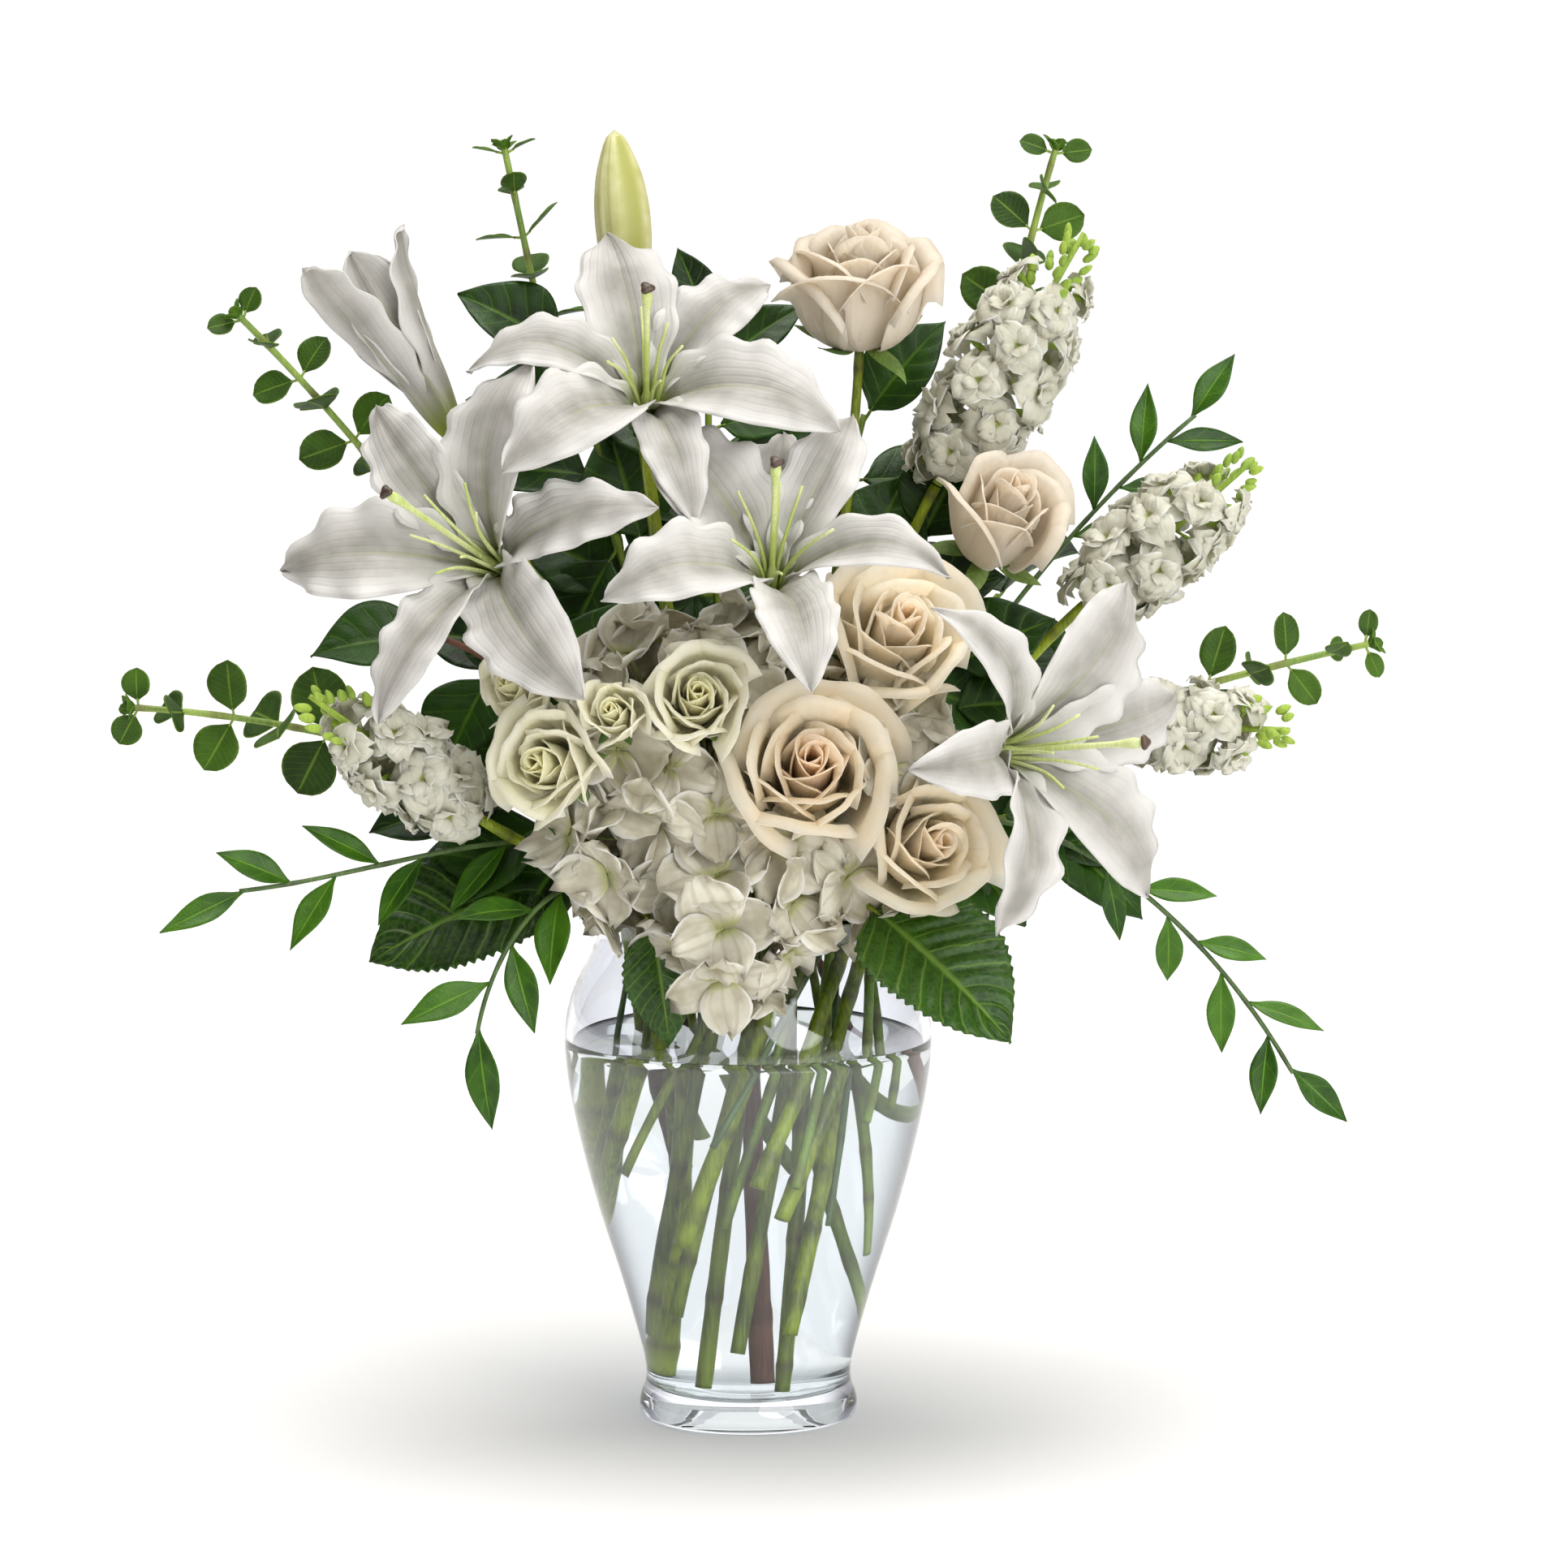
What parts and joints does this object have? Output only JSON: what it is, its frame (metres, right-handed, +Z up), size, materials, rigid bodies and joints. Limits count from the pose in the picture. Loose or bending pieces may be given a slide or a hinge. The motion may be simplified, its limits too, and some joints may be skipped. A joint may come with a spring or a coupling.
{
  "type": "vase of lilies and roses",
  "caption": "Cut white lilies, cream roses, hydrangea, stock and mixed greens gathered in a footed clear glass vase with water.",
  "frame": {"origin": "centre of the vase's flat underside", "axes": "+Z up along the vase's axis; -Y is the front of the arrangement; +X is the viewer's right"},
  "size_m": [0.5553, 0.346, 0.5727],
  "materials": {
    "glass": "clear, polished",
    "water": "clear liquid",
    "stem": "smooth green bark-less stalk, slightly waxy",
    "lily_petal": "soft satin petal",
    "lily_bud": "waxy, with green lines",
    "rose_petal": "velvety",
    "spray_rose_petal": "velvety",
    "hydrangea_floret": "matte",
    "stock_floret": "matte, with lime-green buds at the tip",
    "eucalyptus_leaf": "matte, waxy bloom",
    "ruscus_leaf": "semi-gloss",
    "salal_leaf": "leathery gloss",
    "hydrangea_leaf": "deeply veined, semi-gloss"
  },
  "bodies": {
    "root": {"eucalyptus_left": "eucalyptus_leaf", "eucalyptus_right": "eucalyptus_leaf", "eucalyptus_top_left": "eucalyptus_leaf", "eucalyptus_top_right": "eucalyptus_leaf", "eucalyptus_upper_left": "eucalyptus_leaf", "hydrangea": "hydrangea_floret", "hydrangea_leaf_left": "hydrangea_leaf", "hydrangea_leaf_right": "hydrangea_leaf", "hydrangea_stem": "stem", "lily_bud": "lily_bud", "lily_centre": "lily_petal", "lily_centre_stem": "stem", "lily_half_open": "lily_petal", "lily_left": "lily_petal", "lily_left_stem": "stem", "lily_right": "lily_petal", "lily_right_stem": "stem", "lily_top": "lily_petal", "lily_top_stem": "stem", "rose_centre": "rose_petal", "rose_centre_stem": "stem", "rose_front": "rose_petal", "rose_front_stem": "stem", "rose_low": "rose_petal", "rose_low_stem": "stem", "rose_right": "rose_petal", "rose_right_stem": "stem", "rose_top": "rose_petal", "rose_top_stem": "stem", "ruscus_left": "ruscus_leaf", "ruscus_low_left": "ruscus_leaf", "ruscus_low_right": "ruscus_leaf", "ruscus_upper_right": "ruscus_leaf", "salal_back": "salal_leaf", "salal_back_left": "salal_leaf", "salal_back_right": "salal_leaf", "salal_left": "salal_leaf", "salal_right": "salal_leaf", "salal_top": "salal_leaf", "salal_top_left": "salal_leaf", "salal_upper_right": "salal_leaf", "spray_rose_1": "spray_rose_petal", "spray_rose_2": "spray_rose_petal", "spray_rose_3": "spray_rose_petal", "spray_rose_4": "spray_rose_petal", "spray_rose_stem": "stem", "stock_left": "stock_floret", "stock_left_stem": "stem", "stock_low_right": "stock_floret", "stock_low_right_stem": "stem", "stock_right": "stock_floret", "stock_right_stem": "stem", "stock_top": "stock_floret", "stock_top_stem": "stem", "vase": "glass", "water": "water"}
  },
  "joints": []
}
